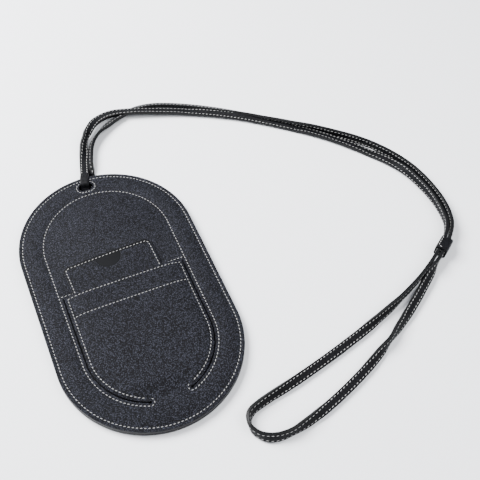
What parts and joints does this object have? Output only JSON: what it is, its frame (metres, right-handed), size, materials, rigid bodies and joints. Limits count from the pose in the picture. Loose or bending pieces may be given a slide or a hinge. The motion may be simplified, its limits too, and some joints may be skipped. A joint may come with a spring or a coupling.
{
  "type": "neck pouch wallet",
  "caption": "Flat capsule-shaped leather phone pouch with a cut-out pocket tongue, a card holder in its mouth and a long stitched neck strap with a sliding keeper.",
  "frame": {"origin": "under the middle of the pouch, on the surface that its back lies on", "axes": "+X across the pouch, +Y along it towards the strap slot, +Z out of its front face"},
  "size_m": [0.2817, 0.275, 0.0103],
  "materials": {
    "pouch_leather": "fine pebble grain, matt",
    "tongue_leather": "fine pebble grain, matt",
    "lining_leather": "smooth, matt",
    "edge_filler": "painted edge",
    "stiffener_board": "bonded fibre board, hidden",
    "holder_leather": "fine pebble grain, matt",
    "holder_lining_leather": "smooth, matt",
    "strap_leather": "smooth grain with painted edges",
    "keeper_leather": "smooth grain with painted edges",
    "thread": "waxed linen thread"
  },
  "bodies": {
    "pouch": {"back_panel": "pouch_leather", "back_stiffener": "stiffener_board", "back_edge_filler": "edge_filler", "back_lining": "lining_leather", "front_lining": "lining_leather", "front_panel": "pouch_leather", "perimeter_stitching": "thread", "pocket_outline_stitching": "thread", "mouth_edge_stitching": "thread", "slot_stitching": "thread", "strap_outer_leather": "strap_leather", "strap_inner_leather": "strap_leather", "strap_tab": "strap_leather"},
    "tongue": {"mouth_facing": "lining_leather", "tongue_lining": "lining_leather", "pocket_tongue": "tongue_leather", "tongue_stitching": "thread", "facing_stitching": "thread"},
    "card_holder": {"holder_back_leaf": "holder_leather", "holder_lining": "holder_lining_leather", "holder_front_leaf": "holder_leather", "holder_stitching": "thread"},
    "keeper": {"keeper_wrap": "keeper_leather", "keeper_stitching": "thread"}
  },
  "joints": [
    {"name": "tongue_flex", "type": "hinge", "parent": "pouch", "child": "tongue", "pos_m": [0, -0.07589, 0.005], "axis": [1, 0, 0], "range_deg": [0, 25], "stiffness_Nm_per_rad": 0.01},
    {"name": "card_holder_slide", "type": "slide", "parent": "pouch", "child": "card_holder", "axis": [-0.0436, 0.9986, 0.0315], "range_m": [-0.004, 0.06]},
    {"name": "keeper_slide", "type": "slide", "parent": "pouch", "child": "keeper", "axis": [-0.829, -0.5592, 0], "range_m": [0, 0.01]}
  ]
}
